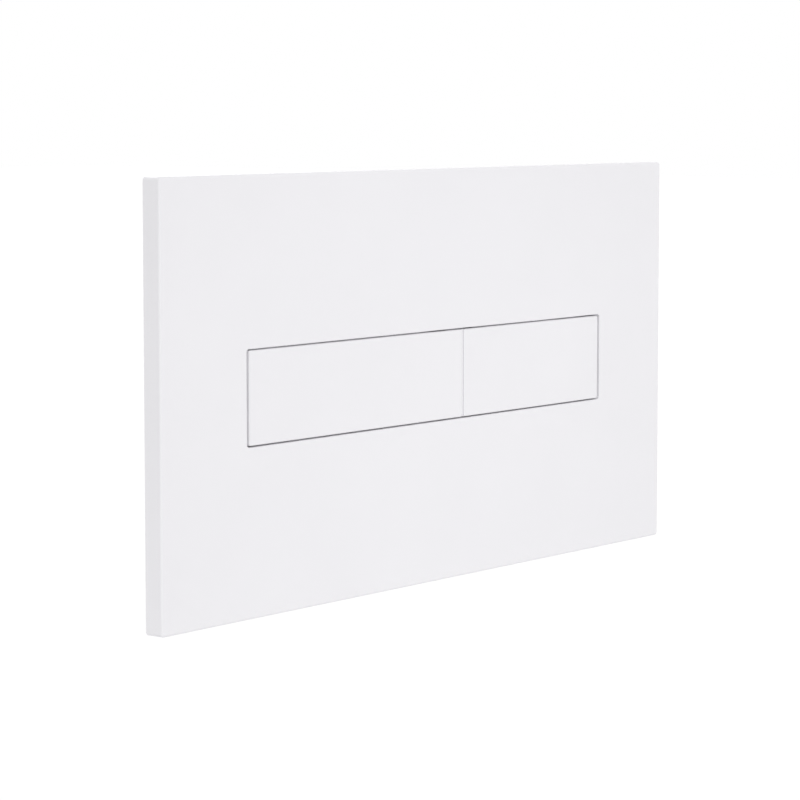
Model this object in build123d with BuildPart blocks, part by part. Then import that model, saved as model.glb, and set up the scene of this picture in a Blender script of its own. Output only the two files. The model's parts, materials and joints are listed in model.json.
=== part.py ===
from build123d import *
from math import cos, pi, radians, sin
import os

# Two-button flush plate for a concealed cistern.
# X runs to the right as a user sees the plate, Y runs into the wall and Z runs up.
# The origin is the centre of the plate, on the wall's surface. All lengths are millimetres.

# Cover plate
plate_width = 271.0
plate_height = 140.0
plate_depth = 6.9
plate_corner_radius = 1.2
front_edge_radius = 0.8
front_wall = 2.4
skirt_wall = 2.2
inner_corner_radius = 1.0
rib_wall = 1.2
rib_height = 1.6
rib_pitch = 40.0
rib_end_margin = 10.0
seat_width = 8.0
seat_height = 4.0
pry_notch_width = 10.0
pry_notch_depth = 1.4

# Slot for the buttons, and the collar behind it
slot_width = 192.6
slot_height = 31.0
slot_corner_radius = 1.2
slot_edge_chamfer = 0.15
collar_wall = 1.6
collar_depth = 1.9

# Buttons
button_gap = 0.48
button_end_gap = 1.0
divider_gap = 0.44
divider_x = 14.75
divider_step_width = 0.35
divider_step_depth = 0.6
button_front_wall = 2.4
button_wall = 1.6
button_depth = 5.7
button_edge_chamfer = 0.3
button_rib_height = 2.1
button_rib_spacing = 15.0
button_rib_pitch = 17.0
push_pad_radius = 5.5
push_pad_height = 1.0
press_angle = 5.0

# Stop tabs at the inner end of each button, with rubber pads
tab_length = 10.0
tab_inset = 2.5
tab_reach = 3.4
tab_thickness = 1.8
tab_overlap = 0.2
pad_margin = 0.7
pad_gap = 0.3

# Hinges at the outer end of each button
pin_radius = 1.5
pin_inset = 3.3
pin_to_collar = 0.3
ear_thickness = 4.0
ear_wall = 1.5
lug_thickness = 3.5
lug_wall = 1.9
running_clearance = 0.05
press_clearance = 0.01

# Push rods, adjusting caps and retaining clips
rod_spacing = 70.0
rod_radius = 3.0
rod_reach = 62.0
rod_clearance = 0.08
cap_gap = 0.35
cap_length = 7.15
cap_sides = 6
cap_across_flats = 12.8
cap_nose_radius = 2.5
cap_nose_height = 0.8
cap_to_ribs = 0.9
cap_thread_depth = 5.3
cap_thread_clearance = 0.02
groove_depth = 0.5
clip_thickness = 0.8
clip_width = 10.0
clip_mouth = 4.6
clip_clearance = 0.05
clip_gap = 0.3

# Return springs
spring_length = 9.0
spring_radius = 5.6
spring_wire = 0.76
spring_turns = 4.5
spring_runs_per_turn = 16
spring_end_gap = 0.08

# Mounting frame
flange_border = 13.0
flange_thickness = 1.9
flange_corner_radius = 4.0
flange_slot_length = 34.0
flange_slot_width = 5.0
lug_to_ring = 7.6
ring_height = 84.0
ring_wall = 2.0
ring_corner_radius = 5.0
bridge_height = 26.0
bridge_thickness = 3.0
bridge_rib_height = 4.0
bridge_rib_wall = 1.6
sleeve_wall = 1.52
sleeve_bottoming = 0.33
sleeve_back_reach = 8.0
gusset_reach = 6.0
bridge_window_height = 11.0
bridge_window_wall = 3.0

# Snap hooks of the cover, and their windows in the frame
hook_x = 60.0
hook_width = 12.0
hook_thickness = 1.8
hook_clearance = 0.4
hook_length = 13.5
barb_reach = 1.3
barb_length = 4.8
barb_land = 0.8
window_clearance = 0.3

# Fixing bolts and washers
bolt_spacing = 144.0
bolt_radius = 2.5
bolt_reach = 50.0
neck_radius = 2.7
neck_clearance = 0.2
neck_past_frame = 1.0
bolt_adjustment = 5.0
bolt_pad_height = 1.0
bolt_pad_margin = 1.0
head_radius = 4.6
head_height = 3.2
driver_slot_width = 1.2
driver_slot_depth = 1.4
washer_radius = 6.2
washer_thickness = 1.2
washer_clearance = 0.15

# Depths along Y that several pieces share, worked out from the front face
front_y = -plate_depth
cover_inner_y = front_y + front_wall
collar_rear_y = cover_inner_y + collar_depth
button_inner_y = front_y + button_front_wall
button_rear_y = front_y + button_depth
pin_y = collar_rear_y + pin_to_collar + pin_radius
pad_front_y = collar_rear_y + pad_gap
tab_front_y = button_rear_y - tab_overlap
push_pad_y = button_inner_y + push_pad_height
cap_front_y = push_pad_y + cap_gap
cap_rear_y = cap_front_y + cap_length
bridge_front_y = cap_rear_y + spring_length
bridge_rear_y = bridge_front_y + bridge_thickness
sleeve_rear_y = bridge_rear_y + sleeve_back_reach
clip_front_y = sleeve_rear_y + clip_gap
bolt_pad_y = bridge_front_y - bolt_pad_height

# Places along X and Z that several pieces share
button_half_height = slot_height / 2 - button_gap
button_outer_x = slot_width / 2 - button_end_gap
collar_outer_z = slot_height / 2 + collar_wall
pin_x = button_outer_x - pin_inset
pin_half_length = collar_outer_z + lug_thickness
rod_x = rod_spacing / 2
bolt_x = bolt_spacing / 2
bolt_pad_reach = washer_radius + bolt_pad_margin + bolt_adjustment / 2
ring_inner_x = pin_x + pin_radius + lug_wall + lug_to_ring
ring_width = 2 * (ring_inner_x + ring_wall)
flange_width = ring_width + 2 * flange_border
flange_height = ring_height + 2 * flange_border
ring_inner_z = ring_height / 2 - ring_wall
hook_outer_z = ring_inner_z - hook_clearance
hook_end_y = cover_inner_y + hook_length
barb_front_y = hook_end_y - barb_length

# The rod follows its button: the arm is the distance from the hinge to the rod
rod_arm = pin_x - rod_x
rod_travel = rod_arm * radians(press_angle)
sleeve_front_y = cap_rear_y + rod_travel + sleeve_bottoming
sleeve_radius = rod_radius + rod_clearance + sleeve_wall

both_ways = (-1, 1)
os.makedirs("parts", exist_ok=True)


def at_depth(y):
    """A sketch plane at depth y, facing the room, with X to the right and Z up."""
    return Plane.XZ.offset(-y)


def turned_about(x):
    """A sketch plane for a profile turned about the line along Y through x."""
    return Plane(origin=(x, 0, 0), x_dir=(1, 0, 0), z_dir=(0, 0, 1))


def turning_axis(x):
    return Axis((x, 0, 0), (0, 1, 0))


def keep(part, name):
    part.label = name
    export_step(part, f"parts/{name}.step")


# Cover plate: a shallow shell with the slot, its collar, ribs, seats, hinge lugs and snap hooks
with BuildPart() as cover_plate:
    with BuildSketch(at_depth(0)):
        RectangleRounded(plate_width, plate_height, plate_corner_radius)
    extrude(amount=plate_depth)
    fillet(cover_plate.faces().sort_by(Axis.Y)[0].edges(), front_edge_radius)
    with BuildSketch(at_depth(0)):
        RectangleRounded(plate_width - 2 * skirt_wall, plate_height - 2 * skirt_wall, inner_corner_radius)
    extrude(amount=plate_depth - front_wall, mode=Mode.SUBTRACT)

    # Ribs stand on the inner face, from the collar out to the skirt
    inner_height = plate_height - 2 * skirt_wall
    inner_width = plate_width - 2 * skirt_wall
    rib_field = inner_height / 2 - collar_outer_z
    rib_columns = int((inner_width / 2 - rib_end_margin) / rib_pitch) * 2
    with BuildSketch(at_depth(cover_inner_y)):
        with GridLocations(rib_pitch, inner_height - rib_field, rib_columns, 2):
            Rectangle(rib_wall, rib_field)
        with GridLocations(0, inner_height - rib_field, 1, 2):
            Rectangle(inner_width, rib_wall)
        for side in both_ways:
            with Locations((side * (inner_width + slot_width) / 4, 0)):
                Rectangle((inner_width - slot_width) / 2, rib_wall)
    extrude(amount=-rib_height)

    # Seats reach further back and rest on the mounting frame's flange
    seat_z = (ring_inner_z + flange_height / 2) / 2
    with BuildSketch(at_depth(cover_inner_y)):
        with GridLocations(ring_width / 2 - seat_width, 2 * seat_z, 3, 2):
            Rectangle(seat_width, seat_height)
    extrude(amount=cover_inner_y + flange_thickness)

    # Hinge lugs above and below each button's outer end, rooted halfway into the collar's wall
    lug_root_z = collar_outer_z - collar_wall / 2
    lug_middle_z = (lug_root_z + pin_half_length) / 2
    for side in both_ways:
        for level in both_ways:
            lug_plane = Plane.XY.offset(level * lug_middle_z)
            with BuildSketch(lug_plane):
                with Locations((side * pin_x, pin_y)):
                    Circle(pin_radius + lug_wall)
                with Locations((side * pin_x, (pin_y + cover_inner_y) / 2)):
                    Rectangle(2 * (pin_radius + lug_wall), pin_y - cover_inner_y)
            extrude(amount=pin_half_length - lug_middle_z, both=True)

    # Collar, then the slot through it and the front wall
    with BuildSketch(at_depth(cover_inner_y)):
        RectangleRounded(
            slot_width + 2 * collar_wall, slot_height + 2 * collar_wall, slot_corner_radius + collar_wall
        )
    extrude(amount=-collar_depth)
    with BuildSketch(at_depth(front_y)):
        RectangleRounded(slot_width, slot_height, slot_corner_radius)
    extrude(amount=-plate_depth, mode=Mode.SUBTRACT)
    chamfer(cover_plate.faces().sort_by(Axis.Y)[0].inner_wires()[0].edges(), slot_edge_chamfer)

    # Pin bores through the lugs
    for side in both_ways:
        with BuildSketch(Plane.XY):
            with Locations((side * pin_x, pin_y)):
                Circle(pin_radius + press_clearance)
        extrude(amount=pin_half_length, both=True, mode=Mode.SUBTRACT)

    # Snap hooks: straight fingers with a ramped barb that catches in the frame's windows
    for side in both_ways:
        for level in both_ways:
            outer_z = level * hook_outer_z
            inner_z = level * (hook_outer_z - hook_thickness)
            barb_z = level * (hook_outer_z + barb_reach)
            tip_z = level * (hook_outer_z - hook_thickness / 2)
            with BuildSketch(Plane.YZ.offset(side * hook_x)):
                with BuildLine():
                    Polyline(
                        (cover_inner_y, inner_z),
                        (hook_end_y, inner_z),
                        (hook_end_y, tip_z),
                        (barb_front_y + barb_land, barb_z),
                        (barb_front_y, barb_z),
                        (barb_front_y, outer_z),
                        (cover_inner_y, outer_z),
                        close=True,
                    )
                make_face()
            extrude(amount=hook_width / 2, both=True)

    # Notches in the lower edge, by the hooks, where a flat tool lifts the cover off the frame
    with BuildSketch(at_depth(0)):
        with Locations((0, -plate_height / 2)):
            with GridLocations(2 * hook_x, 0, 2, 1):
                Rectangle(pry_notch_width, 2 * skirt_wall)
    extrude(amount=pry_notch_depth, mode=Mode.SUBTRACT)
keep(cover_plate.part, "cover_plate")


def stop_tab_x(side, inner_x):
    """The middle of a button's stop tabs, set back from its inner end."""
    return inner_x + side * (tab_inset + tab_length / 2)


def make_button(side, inner_x):
    """A left (side -1) or right (side 1) button, hinged at its outer end; its other end is at inner_x."""
    outer_x = side * button_outer_x
    length = abs(outer_x - inner_x)
    middle_x = (outer_x + inner_x) / 2
    inwards = -side
    with BuildPart() as button:
        with BuildSketch(at_depth(front_y)) as outline:
            with Locations((middle_x, 0)):
                Rectangle(length, 2 * button_half_height)
            corners = outline.vertices().sort_by(Axis.X)
            outer_corners = corners[:2] if side < 0 else corners[2:]
            fillet(outer_corners, slot_corner_radius - button_gap)
        extrude(amount=-button_depth)
        chamfer(button.faces().sort_by(Axis.Y)[0].edges(), button_edge_chamfer)

        # A shallow step along the inner end, which makes the line between the buttons a soft one
        with BuildSketch(at_depth(front_y)):
            with Locations((inner_x, 0)):
                Rectangle(2 * divider_step_width, 2 * button_half_height)
        extrude(amount=-divider_step_depth, mode=Mode.SUBTRACT)

        # Hollow behind the front wall
        with BuildSketch(at_depth(button_rear_y)):
            with Locations((middle_x, 0)):
                Rectangle(length - 2 * button_wall, 2 * (button_half_height - button_wall))
        extrude(amount=button_depth - button_front_wall, mode=Mode.SUBTRACT)

        # Two long ribs, tied by short cross ribs that keep clear of the adjusting cap
        rib_start_x = side * (pin_x - pin_radius - ear_wall)
        rib_run = abs(inner_x - rib_start_x) - button_wall / 2
        rib_middle_x = rib_start_x + inwards * rib_run / 2
        cross_count = int(rib_run / button_rib_pitch) + 1
        cross_places = [rib_start_x + inwards * button_rib_pitch * step for step in range(cross_count)]
        clear_of_cap = cap_across_flats / 2 / cos(pi / cap_sides) + cap_to_ribs + rib_wall / 2
        with BuildSketch(at_depth(button_inner_y)):
            with Locations((rib_middle_x, 0)):
                with GridLocations(0, button_rib_spacing, 1, 2):
                    Rectangle(rib_run, rib_wall)
            with Locations(*[(x, 0) for x in cross_places if abs(x - side * rod_x) > clear_of_cap]):
                Rectangle(rib_wall, 2 * button_half_height - button_wall)
        extrude(amount=-button_rib_height)

        # Flat pad that presses the adjusting cap
        with BuildSketch(at_depth(button_inner_y)):
            with Locations((side * rod_x, 0)):
                Circle(push_pad_radius)
        extrude(amount=-push_pad_height)

        # Hinge ears, rooted halfway into the long walls
        for level in both_ways:
            ear_plane = Plane.XY.offset(level * (button_half_height - button_wall / 2 - ear_thickness / 2))
            with BuildSketch(ear_plane):
                with Locations((side * pin_x, pin_y)):
                    Circle(pin_radius + ear_wall)
                with Locations((side * pin_x, (pin_y + button_inner_y) / 2)):
                    Rectangle(2 * (pin_radius + ear_wall), pin_y - button_inner_y)
            extrude(amount=ear_thickness / 2, both=True)
        with BuildSketch(Plane.XY):
            with Locations((side * pin_x, pin_y)):
                Circle(pin_radius + running_clearance)
        extrude(amount=button_half_height, both=True, mode=Mode.SUBTRACT)

        # Stop tabs reach out behind the collar at the inner end
        tab_x = stop_tab_x(side, inner_x)
        tab_root_z = button_half_height - button_wall
        tab_span = button_wall + tab_reach
        with BuildSketch(at_depth(tab_front_y)):
            with Locations((tab_x, 0)):
                with GridLocations(0, 2 * tab_root_z + tab_span, 1, 2):
                    Rectangle(tab_length, tab_span)
        extrude(amount=-tab_thickness)
    return button.part


def make_stop_pads(side, inner_x):
    """The two rubber pads on a button's stop tabs, above and below."""
    tab_x = stop_tab_x(side, inner_x)
    pad_z = button_half_height + tab_reach / 2
    with BuildPart() as pads:
        with BuildSketch(at_depth(tab_front_y)):
            with Locations((tab_x, 0)):
                with GridLocations(0, 2 * pad_z, 1, 2):
                    Rectangle(tab_length - 2 * pad_margin, tab_reach - 2 * pad_margin)
        extrude(amount=tab_front_y - pad_front_y)
    return pads.part


def make_hinge_pin(side):
    with BuildPart() as pin:
        with BuildSketch(Plane.XY):
            with Locations((side * pin_x, pin_y)):
                Circle(pin_radius)
        extrude(amount=pin_half_length, both=True)
    return pin.part


def make_push_rod(side):
    """A plain rod with a groove for the retaining clip."""
    x = side * rod_x
    groove_radius = rod_radius - groove_depth
    groove_front_y = clip_front_y - clip_clearance
    groove_rear_y = clip_front_y + clip_thickness + clip_clearance
    front_end_y = cap_rear_y - cap_thread_depth
    with BuildPart() as rod:
        with BuildSketch(turned_about(x)):
            with BuildLine():
                Polyline(
                    (0, front_end_y),
                    (rod_radius, front_end_y),
                    (rod_radius, groove_front_y),
                    (groove_radius, groove_front_y),
                    (groove_radius, groove_rear_y),
                    (rod_radius, groove_rear_y),
                    (rod_radius, rod_reach),
                    (0, rod_reach),
                    close=True,
                )
            make_face()
        revolve(axis=turning_axis(x))
    return rod.part


def make_rod_cap(side):
    """The adjusting cap: a six-sided knob with a blunt nose, a flat back and a bore for the rod."""
    body_length = cap_length - cap_nose_height
    with BuildPart() as cap:
        with BuildSketch(at_depth(cap_rear_y)):
            with Locations((side * rod_x, 0)):
                RegularPolygon(cap_across_flats / 2, cap_sides, major_radius=False)
        extrude(amount=body_length)
        with BuildSketch(at_depth(cap_rear_y - body_length)):
            with Locations((side * rod_x, 0)):
                Circle(cap_nose_radius)
        extrude(amount=cap_nose_height)
        with BuildSketch(at_depth(cap_rear_y)):
            with Locations((side * rod_x, 0)):
                Circle(rod_radius + cap_thread_clearance)
        extrude(amount=cap_thread_depth + cap_thread_clearance, mode=Mode.SUBTRACT)
    return cap.part


def make_rod_clip(side):
    """A pressed U-shaped clip in the rod's groove, with its mouth downwards."""
    x = side * rod_x
    with BuildPart() as clip:
        with BuildSketch(at_depth(clip_front_y)):
            with Locations((x, 0)):
                Rectangle(clip_width, clip_width)
                Circle(rod_radius - groove_depth + clip_clearance, mode=Mode.SUBTRACT)
            with Locations((x, -clip_width / 4)):
                Rectangle(clip_mouth, clip_width / 2, mode=Mode.SUBTRACT)
        extrude(amount=-clip_thickness)
    return clip.part


def make_spring(side):
    """A compression spring round the guide sleeve, drawn light: square wire, in short straight runs."""
    wire_radius = spring_wire / 2
    start_y = cap_rear_y + spring_end_gap + wire_radius
    length = spring_length - 2 * (spring_end_gap + wire_radius)
    run_count = int(spring_turns * spring_runs_per_turn)
    points = []
    for run in range(run_count + 1):
        turn = 2 * pi * run / spring_runs_per_turn
        x = side * rod_x + spring_radius * cos(turn)
        points.append((x, start_y + length * run / run_count, spring_radius * sin(turn)))
    with BuildPart() as spring:
        with BuildLine():
            coil = Polyline(*points)
        with BuildSketch(Plane(coil @ 0, z_dir=coil % 0)):
            RegularPolygon(wire_radius, 4)
        sweep(path=coil, transition=Transition.RIGHT)
    return spring.part


def make_bolt(side):
    """A slotted cheese-head bolt with a plain neck where it passes the frame."""
    x = side * bolt_x
    head_rear_y = bolt_pad_y - washer_thickness
    head_front_y = head_rear_y - head_height
    neck_end_y = bridge_rear_y + neck_past_frame
    with BuildPart() as bolt:
        with BuildSketch(turned_about(x)):
            with BuildLine():
                Polyline(
                    (0, head_front_y),
                    (head_radius, head_front_y),
                    (head_radius, head_rear_y),
                    (neck_radius, head_rear_y),
                    (neck_radius, neck_end_y),
                    (bolt_radius, neck_end_y),
                    (bolt_radius, bolt_reach),
                    (0, bolt_reach),
                    close=True,
                )
            make_face()
        revolve(axis=turning_axis(x))
        with BuildSketch(at_depth(head_front_y)):
            with Locations((x, 0)):
                Rectangle(2 * head_radius, driver_slot_width)
        extrude(amount=-driver_slot_depth, mode=Mode.SUBTRACT)
    return bolt.part


def make_washer(side):
    with BuildPart() as washer:
        with BuildSketch(at_depth(bolt_pad_y)):
            with Locations((side * bolt_x, 0)):
                Circle(washer_radius)
                Circle(neck_radius + washer_clearance, mode=Mode.SUBTRACT)
        extrude(amount=washer_thickness)
    return washer.part


# Mounting frame: a flanged ring with a bridge across it for the rods' sleeves and the bolts
with BuildPart() as mounting_frame:
    with BuildSketch(at_depth(0)):
        RectangleRounded(flange_width, flange_height, flange_corner_radius)
    extrude(amount=flange_thickness)
    with BuildSketch(at_depth(0)):
        RectangleRounded(ring_width, ring_height, ring_corner_radius)
    extrude(amount=-bridge_rear_y)
    with BuildSketch(at_depth(-flange_thickness)):
        RectangleRounded(2 * ring_inner_x, 2 * ring_inner_z, ring_corner_radius - ring_wall)
    extrude(amount=-flange_thickness - bridge_rear_y, mode=Mode.SUBTRACT)

    # Slots in the upper and lower borders of the flange, clear of the cover's seats
    with BuildSketch(at_depth(0)):
        with GridLocations(ring_width / 2 - seat_width, ring_height + flange_border, 2, 2):
            Rectangle(flange_slot_length, flange_slot_width)
    extrude(amount=flange_thickness, mode=Mode.SUBTRACT)

    # Bridge with stiffening ribs along its back
    bridge_length = ring_width - ring_wall
    with BuildSketch(at_depth(bridge_front_y)):
        Rectangle(bridge_length, bridge_height)
    extrude(amount=-bridge_thickness)
    with BuildSketch(at_depth(bridge_rear_y)):
        with GridLocations(0, bridge_height - bridge_rib_wall, 1, 2):
            Rectangle(bridge_length, bridge_rib_wall)
    extrude(amount=-bridge_rib_height)

    # Guide sleeves with gussets on the back of the bridge
    for side in both_ways:
        with BuildSketch(at_depth(sleeve_front_y)):
            with Locations((side * rod_x, 0)):
                Circle(sleeve_radius)
        extrude(amount=sleeve_front_y - sleeve_rear_y)
        for way in both_ways:
            with BuildSketch(Plane.XY):
                with BuildLine():
                    Polyline(
                        (side * rod_x, bridge_rear_y),
                        (side * rod_x + way * (sleeve_radius + gusset_reach), bridge_rear_y),
                        (side * rod_x + way * (sleeve_radius - sleeve_wall / 2), sleeve_rear_y),
                        (side * rod_x, sleeve_rear_y),
                        close=True,
                    )
                make_face()
            extrude(amount=rib_wall / 2, both=True)
    with BuildSketch(at_depth(sleeve_front_y)):
        with GridLocations(rod_spacing, 0, 2, 1):
            Circle(rod_radius + rod_clearance)
    extrude(amount=sleeve_front_y - sleeve_rear_y, mode=Mode.SUBTRACT)

    # Raised pads and long holes for the fixing bolts
    hole_width = 2 * (neck_radius + neck_clearance)
    with BuildSketch(at_depth(bridge_front_y)):
        with GridLocations(bolt_spacing, 0, 2, 1):
            Rectangle(2 * bolt_pad_reach, 2 * (washer_radius + bolt_pad_margin))
    extrude(amount=bolt_pad_height)
    with BuildSketch(at_depth(bolt_pad_y)):
        with GridLocations(bolt_spacing, 0, 2, 1):
            SlotOverall(hole_width + bolt_adjustment, hole_width)
    extrude(amount=-bolt_pad_height - bridge_thickness, mode=Mode.SUBTRACT)

    # Windows that lighten the bridge, between the sleeves and beside the bolts' pads
    gusset_end_x = rod_x + sleeve_radius + gusset_reach
    pad_start_x = bolt_x - bolt_pad_reach
    side_window_x = (gusset_end_x + pad_start_x) / 2
    with BuildSketch(at_depth(bridge_front_y)):
        Rectangle(2 * (rod_x - sleeve_radius - gusset_reach - bridge_window_wall), bridge_window_height)
        with GridLocations(2 * side_window_x, 0, 2, 1):
            Rectangle(pad_start_x - gusset_end_x - 2 * bridge_window_wall, bridge_window_height)
    extrude(amount=-bridge_thickness, mode=Mode.SUBTRACT)

    # Windows that the cover's snap hooks catch in
    window_length = barb_length + 2 * window_clearance
    window_middle_y = barb_front_y + barb_length / 2
    for level in both_ways:
        with BuildSketch(Plane.XY.offset(level * (ring_height / 2 - ring_wall / 2))):
            with Locations((0, window_middle_y)):
                with GridLocations(2 * hook_x, 0, 2, 1):
                    Rectangle(hook_width + 2 * window_clearance, window_length)
        extrude(amount=ring_wall, both=True, mode=Mode.SUBTRACT)
keep(mounting_frame.part, "mounting_frame")

# The left side carries the full flush button, the right side the half flush button
for name, side in (("full", -1), ("half", 1)):
    inner_x = divider_x + side * divider_gap / 2
    keep(make_button(side, inner_x), f"{name}_flush_button")
    keep(make_stop_pads(side, inner_x), f"{name}_stop_pads")
    keep(make_hinge_pin(side), f"{name}_hinge_pin")
    keep(make_push_rod(side), f"{name}_push_rod")
    keep(make_rod_cap(side), f"{name}_rod_cap")
    keep(make_rod_clip(side), f"{name}_rod_clip")
    keep(make_spring(side), f"{name}_return_spring")
for name, side in (("left", -1), ("right", 1)):
    keep(make_bolt(side), f"fixing_bolt_{name}")
    keep(make_washer(side), f"bolt_washer_{name}")
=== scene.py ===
import json
from math import cos, pi, radians, sin

import bmesh
import bpy
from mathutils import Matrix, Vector


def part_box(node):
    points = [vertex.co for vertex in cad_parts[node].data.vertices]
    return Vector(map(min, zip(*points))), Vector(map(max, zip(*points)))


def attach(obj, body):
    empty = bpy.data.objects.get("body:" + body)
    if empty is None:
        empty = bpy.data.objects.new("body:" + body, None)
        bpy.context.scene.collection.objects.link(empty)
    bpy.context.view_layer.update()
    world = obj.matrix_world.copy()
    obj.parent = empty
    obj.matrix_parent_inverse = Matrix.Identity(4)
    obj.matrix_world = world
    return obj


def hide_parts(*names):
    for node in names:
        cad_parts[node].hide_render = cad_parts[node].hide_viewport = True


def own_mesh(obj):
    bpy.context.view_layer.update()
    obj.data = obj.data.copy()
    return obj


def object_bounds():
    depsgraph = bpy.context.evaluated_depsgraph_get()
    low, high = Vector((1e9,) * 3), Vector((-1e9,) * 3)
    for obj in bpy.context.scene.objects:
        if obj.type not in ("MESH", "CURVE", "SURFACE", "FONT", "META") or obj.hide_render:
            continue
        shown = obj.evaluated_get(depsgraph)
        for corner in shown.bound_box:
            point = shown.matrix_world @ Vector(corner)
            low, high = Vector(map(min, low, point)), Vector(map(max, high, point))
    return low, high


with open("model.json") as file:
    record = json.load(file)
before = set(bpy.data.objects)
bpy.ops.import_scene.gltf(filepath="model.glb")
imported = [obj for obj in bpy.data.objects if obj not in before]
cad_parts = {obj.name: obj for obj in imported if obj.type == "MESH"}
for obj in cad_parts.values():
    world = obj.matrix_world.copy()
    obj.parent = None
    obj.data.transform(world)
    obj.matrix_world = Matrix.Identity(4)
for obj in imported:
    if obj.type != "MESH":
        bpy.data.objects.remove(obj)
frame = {"nodes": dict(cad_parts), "record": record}
cad_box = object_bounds()

# White two-button flush plate for a concealed cistern, in metres.
# X runs to the right as a user sees the plate, Y runs into the wall and Z runs up.

mm = 0.001
scene = bpy.context.scene
front_y = cad_box[0].y
bottom_z = cad_box[0].z

# Camera, set to the photograph's viewing angle
view_azimuth = radians(-51.38)
view_elevation = radians(4.91)
view_distance = 963.8 * mm
view_target = Vector((-19.8 * mm, front_y, 10.2 * mm))
view_lens = 130.46
view_sensor = 36.0
view_shift = -0.0625

# Light: the level of each lamp is the share of white that a facing surface gets from it
ambient_level = 0.73
key_level = 0.218
key_direction = Vector((-0.46, -0.71, 0.533))
key_softness = radians(50)
back_level = 0.30
back_direction = Vector((0.40, 0.80, 0.45))
back_softness = radians(50)
front_level = 0.10
front_distance = 330 * mm
front_size = 150 * mm
front_direction = Vector((0, -1, 0))
front_target = Vector((0, front_y, 0))
side_level = 0.08
side_distance = 150 * mm
side_size = 80 * mm
side_direction = Vector((-1, 0, 0))
side_target = Vector((cad_box[0].x, 40 * mm, bottom_z - 60 * mm))
surround_colour = (1, 1, 1, 1)
floor_drop = 230 * mm
floor_size = 24.0
floor_colour = (0.80, 0.80, 0.80, 1)
floor_glow = 0.25

# Finishes: linear colours from dark to light, the detail of the noise, the range of it that they
# spread over, and the size of gloss patches in grains
white_tones = ((0.857, 0.849, 0.874, 1), (0.869, 0.861, 0.886, 1))
frame_tones = ((0.205, 0.215, 0.235, 1), (0.255, 0.265, 0.285, 1))
rod_tones = ((0.74, 0.73, 0.67, 1), (0.80, 0.79, 0.74, 1))
cap_tones = ((0.065, 0.135, 0.26, 1), (0.095, 0.175, 0.33, 1))
bright_tones = ((0.58, 0.58, 0.57, 1), (0.70, 0.70, 0.69, 1))
spring_tones = ((0.42, 0.42, 0.41, 1), (0.56, 0.56, 0.55, 1))
zinc_tones = ((0.42, 0.44, 0.46, 1), (0.54, 0.55, 0.56, 1))
rubber_tones = ((0.030, 0.030, 0.030, 1), (0.060, 0.060, 0.060, 1))
noise_detail = 3.0
noise_low = 0.30
noise_high = 0.70
gloss_patch = 6

# Edge rounds of moulded and pressed pieces; corners flatter than the limit keep their shape
edge_limit = radians(60)
flat_limit = radians(1)
flat_face_weight = 100
weld_distance = 0.12 * mm
edge_rounds = {
    "white_plastic": 0.15 * mm,
    "frame_plastic": 0.20 * mm,
    "cap_plastic": 0.35 * mm,
    "bright_steel": 0.25 * mm,
    "spring_steel": 0.12 * mm,
    "zinc_steel": 0.12 * mm,
    "stop_rubber": 0.15 * mm,
}
edge_round_steps = 3

# Turned and wound pieces; a thread's root and flank are shares of half its pitch
turned_segments = 40
turned_round_steps = 5
sharp_edge = radians(35)
thread_rows_per_turn = 10
thread_root = 0.20
thread_flank = 0.65
bolt_thread_pitch = 0.8 * mm
bolt_thread_depth = 0.46 * mm
bolt_neck_end = 17.0 * mm
bolt_neck_radius = 2.7 * mm
bolt_head_radius = 4.6 * mm
bolt_head_height = 3.2 * mm
bolt_head_round = 1.0 * mm
bolt_radius = 2.5 * mm
bolt_tip_chamfer = 0.6 * mm
driver_slot_width = 1.2 * mm
driver_slot_depth = 1.4 * mm
rod_radius = 3.0 * mm
rod_thread_pitch = 1.25 * mm
rod_thread_depth = 0.35 * mm
rod_thread_end = 8.0 * mm
rod_groove_radius = 2.5 * mm
rod_groove_slack = 0.05 * mm
rod_tip_round = 1.0 * mm
rod_mark_first = 31.0 * mm
rod_mark_pitch = 5.0 * mm
rod_mark_count = 6
rod_mark_width = 0.5 * mm
rod_mark_depth = 0.25 * mm
wire_radius = 0.38 * mm
wire_segments = 14
coil_steps_per_turn = 44
coil_turns = 6.5
coil_closed_turns = 1.0
spring_length = 9.0 * mm

# Round marks of the mould's ejector pins on the cover's inner face, in the cells between its ribs
cover_wall = 2.4 * mm
ejector_radius = 3.0 * mm
ejector_rim = 0.6 * mm
ejector_rim_height = 0.35 * mm
ejector_floor_height = 0.10 * mm
ejector_root = 0.5 * mm
ejector_columns = 5
ejector_pitch = 40 * mm
ejector_rows = (-61 * mm, -30 * mm, 30 * mm, 61 * mm)


def principled(name):
    """A new material, its node tree and its shader."""
    material = bpy.data.materials.new(name)
    material.use_nodes = True
    return material, material.node_tree, material.node_tree.nodes["Principled BSDF"]


def noise(tree, size, stretch=(1, 1, 1)):
    """Noise fixed to the piece, with features of about that size; stretch squeezes it along an axis."""
    place = tree.nodes.new("ShaderNodeTexCoord")
    mapping = tree.nodes.new("ShaderNodeMapping")
    mapping.inputs["Scale"].default_value = stretch
    tree.links.new(place.outputs["Object"], mapping.inputs["Vector"])
    texture = tree.nodes.new("ShaderNodeTexNoise")
    texture.inputs["Scale"].default_value = 1 / size
    texture.inputs["Detail"].default_value = noise_detail
    tree.links.new(mapping.outputs["Vector"], texture.inputs["Vector"])
    return texture.outputs["Fac"]


def tones(tree, factor, pair, socket):
    """Colours between a dark and a light tone."""
    ramp = tree.nodes.new("ShaderNodeValToRGB")
    for element, position, colour in zip(ramp.color_ramp.elements, (noise_low, noise_high), pair):
        element.position = position
        element.color = colour
    tree.links.new(factor, ramp.inputs["Fac"])
    tree.links.new(ramp.outputs["Color"], socket)


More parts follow.
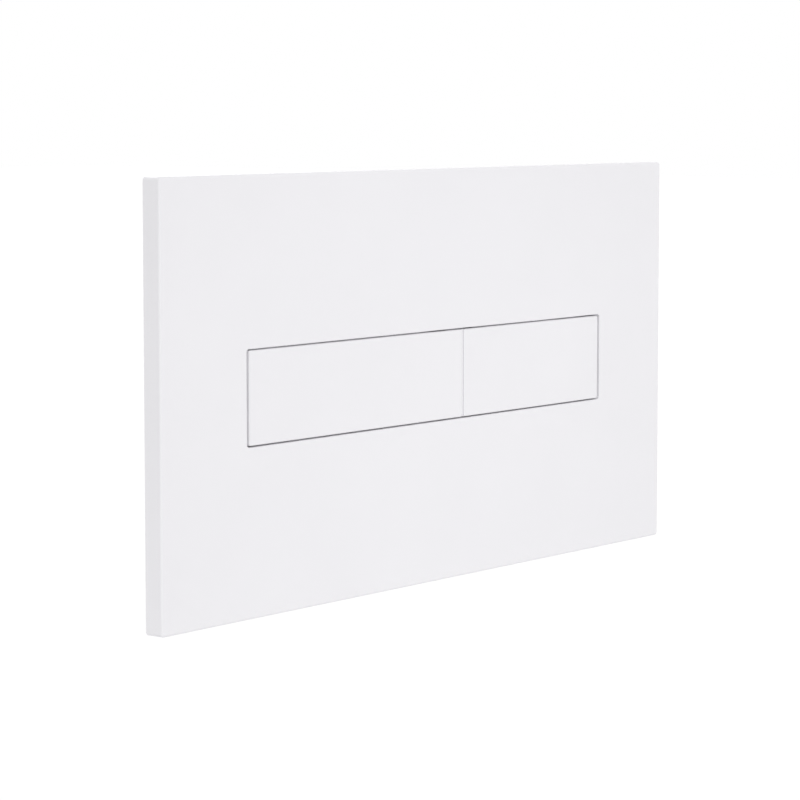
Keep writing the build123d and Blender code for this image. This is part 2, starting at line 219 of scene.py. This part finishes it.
def span(tree, factor, low, high, socket):
    """Numbers between low and high."""
    reach = tree.nodes.new("ShaderNodeMapRange")
    reach.inputs["From Min"].default_value = noise_low
    reach.inputs["From Max"].default_value = noise_high
    reach.inputs["To Min"].default_value = low
    reach.inputs["To Max"].default_value = high
    tree.links.new(factor, reach.inputs["Value"])
    tree.links.new(reach.outputs["Result"], socket)


def grain(tree, factor, height, strength, shader):
    """Fine relief of that height."""
    bump = tree.nodes.new("ShaderNodeBump")
    bump.inputs["Strength"].default_value = strength
    bump.inputs["Distance"].default_value = height
    tree.links.new(factor, bump.inputs["Height"])
    tree.links.new(bump.outputs["Normal"], shader.inputs["Normal"])


def moulding(name, pair, cloud, gloss, grain_size, grain_height, grain_strength):
    """A moulded plastic or rubber: cloudy colour, uneven gloss and a fine grain from the tool."""
    material, tree, shader = principled(name)
    tones(tree, noise(tree, cloud), pair, shader.inputs["Base Color"])
    span(tree, noise(tree, gloss_patch * grain_size), gloss[0], gloss[1], shader.inputs["Roughness"])
    grain(tree, noise(tree, grain_size), grain_height, grain_strength, shader)
    return material


def metal(name, pair, cloud, gloss, stretch, line_size, line_height, line_strength):
    """A metal with drawn, ground or plated streaks; stretch squeezes the streaks along an axis."""
    material, tree, shader = principled(name)
    shader.inputs["Metallic"].default_value = 1
    tones(tree, noise(tree, cloud), pair, shader.inputs["Base Color"])
    streaks = noise(tree, line_size, stretch=stretch)
    span(tree, streaks, gloss[0], gloss[1], shader.inputs["Roughness"])
    grain(tree, streaks, line_height, line_strength, shader)
    return material


materials = {
    "white_plastic": moulding(
        "white_plastic", white_tones, cloud=45 * mm, gloss=(0.44, 0.52),
        grain_size=0.45 * mm, grain_height=0.02 * mm, grain_strength=0.10,
    ),
    "frame_plastic": moulding(
        "frame_plastic", frame_tones, cloud=18 * mm, gloss=(0.50, 0.62),
        grain_size=0.55 * mm, grain_height=0.05 * mm, grain_strength=0.35,
    ),
    "rod_plastic": moulding(
        "rod_plastic", rod_tones, cloud=7 * mm, gloss=(0.32, 0.42),
        grain_size=0.40 * mm, grain_height=0.02 * mm, grain_strength=0.12,
    ),
    "cap_plastic": moulding(
        "cap_plastic", cap_tones, cloud=5 * mm, gloss=(0.36, 0.48),
        grain_size=0.40 * mm, grain_height=0.02 * mm, grain_strength=0.20,
    ),
    "stop_rubber": moulding(
        "stop_rubber", rubber_tones, cloud=3 * mm, gloss=(0.72, 0.88),
        grain_size=0.30 * mm, grain_height=0.03 * mm, grain_strength=0.30,
    ),
    "bright_steel": metal(
        "bright_steel", bright_tones, cloud=4 * mm, gloss=(0.16, 0.28), stretch=(1, 1, 9),
        line_size=1.2 * mm, line_height=0.01 * mm, line_strength=0.15,
    ),
    "spring_steel": metal(
        "spring_steel", spring_tones, cloud=3 * mm, gloss=(0.22, 0.36), stretch=(1, 1, 1),
        line_size=0.4 * mm, line_height=0.01 * mm, line_strength=0.15,
    ),
    "zinc_steel": metal(
        "zinc_steel", zinc_tones, cloud=2 * mm, gloss=(0.22, 0.38), stretch=(1, 6, 1),
        line_size=0.8 * mm, line_height=0.01 * mm, line_strength=0.15,
    ),
}


def soften(piece, width):
    """Rounds the square edges of a moulded or pressed piece, with its flat faces kept flat."""
    weld = piece.modifiers.new("weld", "WELD")
    weld.merge_threshold = weld_distance
    flat = piece.modifiers.new("flat", "DECIMATE")
    flat.decimate_type = "DISSOLVE"
    flat.angle_limit = flat_limit
    rounding = piece.modifiers.new("rounding", "BEVEL")
    rounding.width = width
    rounding.segments = edge_round_steps
    rounding.limit_method = "ANGLE"
    rounding.angle_limit = edge_limit
    # Clamping would shrink every round to fit the shortest edge, and loop slide folds narrow faces
    rounding.use_clamp_overlap = False
    rounding.loop_slide = False
    shading = piece.modifiers.new("shading", "WEIGHTED_NORMAL")
    shading.weight = flat_face_weight


slot_of = {}
for part in frame["record"]["subparts"]:
    slot_of[part["node"]] = part["material_slot"]
for name, node in frame["nodes"].items():
    slot = slot_of[name]
    node.material_slots[0].material = materials[slot]
    if slot in edge_rounds:
        soften(node, edge_rounds[slot])


def ring(centre_x, y, radius_at, centre_z=0.0):
    """A closed ring of points about a line along Y; radius_at gives the radius at an angle."""
    points = []
    for step in range(turned_segments):
        angle = 2 * pi * step / turned_segments
        radius = radius_at(angle)
        points.append((centre_x + radius * cos(angle), y, centre_z + radius * sin(angle)))
    return points


def plain_rings(centre_x, profile, centre_z=0.0):
    """Rings along a profile of (y, radius) points."""
    return [ring(centre_x, y, lambda angle, radius=radius: radius, centre_z) for y, radius in profile]


def thread_height(angle, y, pitch):
    """0 at the root and 1 at the crest of a right-hand thread with flattened tops and bottoms."""
    phase = (y / pitch - angle / (2 * pi)) % 1
    flank = abs(2 * phase - 1)
    return min(max((flank - thread_root) / thread_flank, 0), 1)


def thread_rings(centre_x, start_y, end_y, radius, depth, pitch, tip_chamfer=0.0):
    """Rings of a threaded stretch that runs out at its start and narrows at its tip."""
    rows = int((end_y - start_y) / pitch * thread_rows_per_turn)
    rings = []
    for row in range(rows + 1):
        y = start_y + (end_y - start_y) * row / rows
        run_out = min((y - start_y) / pitch, 1)
        ceiling = radius - max(tip_chamfer - (end_y - y), 0)

        def radius_at(angle, y=y, run_out=run_out, ceiling=ceiling):
            cut = depth * (1 - thread_height(angle, y, pitch)) * run_out
            return min(radius - cut, ceiling)

        rings.append(ring(centre_x, y, radius_at))
    return rings


def skin(rings):
    """Points and faces of a skin over rings of equal count, with its two ends closed by flat faces."""
    count = len(rings[0])
    points = [point for one in rings for point in one]
    faces = []
    for row in range(len(rings) - 1):
        for step in range(count):
            here = row * count + step
            beside = row * count + (step + 1) % count
            faces.append((here, beside, beside + count, here + count))
    last = (len(rings) - 1) * count
    faces.append(tuple(range(count)))
    faces.append(tuple(range(last, last + count)))
    return points, faces


def make_piece(name, points, faces):
    """A smooth mesh object with its faces turned outwards."""
    mesh = bpy.data.meshes.new(name)
    mesh.from_pydata(points, [], faces)
    shape = bmesh.new()
    shape.from_mesh(mesh)
    bmesh.ops.recalc_face_normals(shape, faces=shape.faces)
    shape.to_mesh(mesh)
    shape.free()
    mesh.shade_smooth()
    mesh.set_sharp_from_angle(angle=sharp_edge)
    piece = bpy.data.objects.new(name, mesh)
    scene.collection.objects.link(piece)
    return piece


def dress(piece, body, node):
    """Gives a piece its body and the finish of its node's slot, and hides the node whose place it takes.
    """
    piece.data.materials.clear()
    piece.data.materials.append(materials[slot_of[node]])
    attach(piece, body)
    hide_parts(node)


def cut(piece, low, high):
    """Cuts the box from low to high out of a piece."""
    corners = [
        (x, y, z)
        for x in (low[0], high[0])
        for y in (low[1], high[1])
        for z in (low[2], high[2])
    ]
    faces = [(0, 1, 3, 2), (4, 6, 7, 5), (0, 4, 5, 1), (2, 3, 7, 6), (0, 2, 6, 4), (1, 5, 7, 3)]
    cutter = make_piece("cutter", corners, faces)
    opening = piece.modifiers.new("opening", "BOOLEAN")
    opening.operation = "DIFFERENCE"
    opening.solver = "EXACT"
    opening.object = cutter
    graph = bpy.context.evaluated_depsgraph_get()
    mesh = bpy.data.meshes.new_from_object(piece.evaluated_get(graph))
    piece.modifiers.clear()
    piece.data = mesh
    mesh.set_sharp_from_angle(angle=sharp_edge)
    bpy.data.objects.remove(cutter)


def rounded_edge(y, radius, size, way):
    """Profile points round an outer edge: from the face at y, over a round of that size, to the side."""
    points = []
    for step in range(turned_round_steps + 1):
        angle = pi / 2 * step / turned_round_steps
        points.append((y + way * size * (1 - cos(angle)), radius - size * (1 - sin(angle))))
    return points


def make_bolt(name):
    """A slotted bolt with a rounded head, a plain neck and a rolled thread."""
    low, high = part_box(name)
    x = (low.x + high.x) / 2
    head_rear_y = low.y + bolt_head_height
    profile = rounded_edge(low.y, bolt_head_radius, bolt_head_round, 1)
    profile += [
        (head_rear_y, bolt_head_radius),
        (head_rear_y, bolt_neck_radius),
        (bolt_neck_end, bolt_neck_radius),
        (bolt_neck_end, bolt_radius),
    ]
    thread = thread_rings(
        x, bolt_neck_end, high.y, bolt_radius, bolt_thread_depth, bolt_thread_pitch, bolt_tip_chamfer
    )
    # The profile already ends with the thread's first ring
    rings = plain_rings(x, profile) + thread[1:]
    bolt = make_piece(f"{name}_threaded", *skin(rings))
    half_width = driver_slot_width / 2
    past_head = 2 * bolt_head_radius
    cut(
        bolt,
        (x - past_head, low.y - past_head, -half_width),
        (x + past_head, low.y + driver_slot_depth, half_width),
    )
    dress(bolt, "plate", name)


def make_rod(side):
    """A push rod with its adjusting thread, clip groove, cutting marks and rounded tip."""
    name = f"{side}_push_rod"
    low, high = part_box(name)
    clip_low, clip_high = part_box(f"{side}_rod_clip")
    x = (low.x + high.x) / 2
    thread = thread_rings(x, low.y, rod_thread_end, rod_radius, rod_thread_depth, rod_thread_pitch)
    groove_front_y = clip_low.y - rod_groove_slack
    groove_rear_y = clip_high.y + rod_groove_slack
    profile = [
        (rod_thread_end, rod_radius),
        (groove_front_y, rod_radius),
        (groove_front_y, rod_groove_radius),
        (groove_rear_y, rod_groove_radius),
        (groove_rear_y, rod_radius),
    ]
    for mark in range(rod_mark_count):
        y = rod_mark_first + mark * rod_mark_pitch
        profile += [
            (y - rod_mark_width / 2, rod_radius),
            (y, rod_radius - rod_mark_depth),
            (y + rod_mark_width / 2, rod_radius),
        ]
    profile += reversed(rounded_edge(high.y, rod_radius, rod_tip_round, -1))
    # The profile's plain first ring takes the place of the thread's last one
    rings = thread[:-1] + plain_rings(x, profile)
    rod = make_piece(f"{name}_moulded", *skin(rings))
    dress(rod, f"{side}_rod", name)


def coil_height(turn):
    """Share of the spring's height reached after some turns: the end turns lie closed."""
    closed_share = coil_closed_turns * 2 * wire_radius / (spring_length - 2 * wire_radius)
    open_turns = coil_turns - 2 * coil_closed_turns
    if turn < coil_closed_turns:
        return closed_share * turn / coil_closed_turns
    if turn > coil_turns - coil_closed_turns:
        return 1 - closed_share * (coil_turns - turn) / coil_closed_turns
    return closed_share + (1 - 2 * closed_share) * (turn - coil_closed_turns) / open_turns


def make_spring(side):
    """A compression spring of round wire with closed ends."""
    name = f"{side}_return_spring"
    low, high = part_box(name)
    x = (low.x + high.x) / 2
    coil_radius = (high.x - low.x) / 2 - wire_radius
    run = high.y - low.y - 2 * wire_radius
    steps = int(coil_turns * coil_steps_per_turn)
    rings = []
    for step in range(steps + 1):
        turn = coil_turns * step / steps
        angle = 2 * pi * turn
        outwards = Vector((cos(angle), 0, sin(angle)))
        centre = Vector((x, low.y + wire_radius + run * coil_height(turn), 0)) + coil_radius * outwards
        wire = []
        for corner in range(wire_segments):
            around = 2 * pi * corner / wire_segments
            wire.append(centre + wire_radius * (cos(around) * outwards + Vector((0, sin(around), 0))))
        rings.append(wire)
    spring = make_piece(f"{name}_wound", *skin(rings))
    dress(spring, "plate", name)
    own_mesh(spring)


def make_ejector_marks():
    """Shallow round dishes with a thin raised rim, rooted in the cover's front wall."""
    face_y = front_y + cover_wall
    inner_radius = ejector_radius - ejector_rim
    profile = [
        (face_y - ejector_root, ejector_radius),
        (face_y + ejector_rim_height, ejector_radius),
        (face_y + ejector_rim_height, inner_radius),
        (face_y + ejector_floor_height, inner_radius),
    ]
    points = []
    faces = []
    for column in range(ejector_columns):
        x = ejector_pitch * (column - (ejector_columns - 1) / 2)
        for z in ejector_rows:
            mark_points, mark_faces = skin(plain_rings(x, profile, z))
            faces += [tuple(len(points) + index for index in face) for face in mark_faces]
            points += mark_points
    marks = make_piece("cover_ejector_marks", points, faces)
    marks.data.materials.append(materials["white_plastic"])
    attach(marks, "plate")


for side in ("left", "right"):
    make_bolt(f"fixing_bolt_{side}")
for side in ("full", "half"):
    make_rod(side)
    make_spring(side)
make_ejector_marks()


def add_camera():
    """The photograph's camera, aimed at the target from its azimuth, elevation and distance."""
    data = bpy.data.cameras.new("camera")
    data.lens = view_lens
    data.sensor_width = view_sensor
    data.shift_y = view_shift
    camera = bpy.data.objects.new("camera", data)
    scene.collection.objects.link(camera)
    level = cos(view_elevation)
    back = Vector((sin(view_azimuth) * level, -cos(view_azimuth) * level, sin(view_elevation)))
    camera.location = view_target + view_distance * back
    camera.rotation_euler = (-back).to_track_quat("-Z", "Y").to_euler()
    scene.camera = camera


def add_sun(name, level, direction, softness):
    """A soft distant light; its level is what a facing white surface gets from it."""
    data = bpy.data.lights.new(name, "SUN")
    data.energy = level * pi
    data.angle = softness
    lamp = bpy.data.objects.new(name, data)
    scene.collection.objects.link(lamp)
    lamp.rotation_euler = direction.to_track_quat("Z", "Y").to_euler()


def add_square_lamp(name, level, size, distance, direction, target):
    """A square lamp close by; its level is what a white surface at the target gets, facing it."""
    data = bpy.data.lights.new(name, "AREA")
    data.shape = "SQUARE"
    data.size = size
    data.energy = level * pi * pi * distance ** 2
    lamp = bpy.data.objects.new(name, data)
    scene.collection.objects.link(lamp)
    lamp.location = target + distance * direction
    lamp.rotation_euler = direction.to_track_quat("Z", "Y").to_euler()
    lamp.visible_camera = False
    lamp.visible_glossy = False


def seen_directly(tree):
    """1 for rays from the camera, off gloss and through glass, and 0 for the rest."""
    path = tree.nodes.new("ShaderNodeLightPath")
    factor = path.outputs["Is Camera Ray"]
    for kind in ("Is Glossy Ray", "Is Transmission Ray"):
        either = tree.nodes.new("ShaderNodeMath")
        either.operation = "MAXIMUM"
        tree.links.new(factor, either.inputs[0])
        tree.links.new(path.outputs[kind], either.inputs[1])
        factor = either.outputs["Value"]
    return factor


def add_world():
    """An even white surround that lights the object at the ambient level."""
    world = bpy.data.worlds.new("world")
    world.use_nodes = True
    scene.world = world
    tree = world.node_tree
    light = tree.nodes["Background"]
    light.inputs["Color"].default_value = surround_colour
    light.inputs["Strength"].default_value = ambient_level
    backdrop = tree.nodes.new("ShaderNodeBackground")
    backdrop.inputs["Color"].default_value = surround_colour
    backdrop.inputs["Strength"].default_value = 1
    choice = tree.nodes.new("ShaderNodeMixShader")
    tree.links.new(seen_directly(tree), choice.inputs["Fac"])
    tree.links.new(light.outputs["Background"], choice.inputs[1])
    tree.links.new(backdrop.outputs["Background"], choice.inputs[2])
    tree.links.new(choice.outputs["Shader"], tree.nodes["World Output"].inputs["Surface"])


def add_floor():
    """A pale floor below the plate; a little glow brings it to white where no shadow falls."""
    half = floor_size / 2
    z = bottom_z - floor_drop
    floor = make_piece(
        "floor", [(-half, -half, z), (half, -half, z), (half, half, z), (-half, half, z)], [(0, 1, 2, 3)]
    )
    material = bpy.data.materials.new("floor")
    material.use_nodes = True
    tree = material.node_tree
    tree.nodes.remove(tree.nodes["Principled BSDF"])
    matt = tree.nodes.new("ShaderNodeBsdfDiffuse")
    matt.inputs["Color"].default_value = floor_colour
    glow = tree.nodes.new("ShaderNodeEmission")
    strength = tree.nodes.new("ShaderNodeMath")
    strength.operation = "MULTIPLY"
    strength.inputs[1].default_value = floor_glow
    tree.links.new(seen_directly(tree), strength.inputs[0])
    tree.links.new(strength.outputs["Value"], glow.inputs["Strength"])
    both = tree.nodes.new("ShaderNodeAddShader")
    tree.links.new(matt.outputs["BSDF"], both.inputs[0])
    tree.links.new(glow.outputs["Emission"], both.inputs[1])
    tree.links.new(both.outputs["Shader"], tree.nodes["Material Output"].inputs["Surface"])
    floor.data.materials.append(material)


add_camera()
add_world()
add_sun("key_light", key_level, key_direction, key_softness)
add_sun("back_light", back_level, back_direction, back_softness)
add_square_lamp("front_lamp", front_level, front_size, front_distance, front_direction, front_target)
add_square_lamp("side_lamp", side_level, side_size, side_distance, side_direction, side_target)
add_floor()
scene.view_settings.view_transform = "Standard"

bpy.context.view_layer.update()
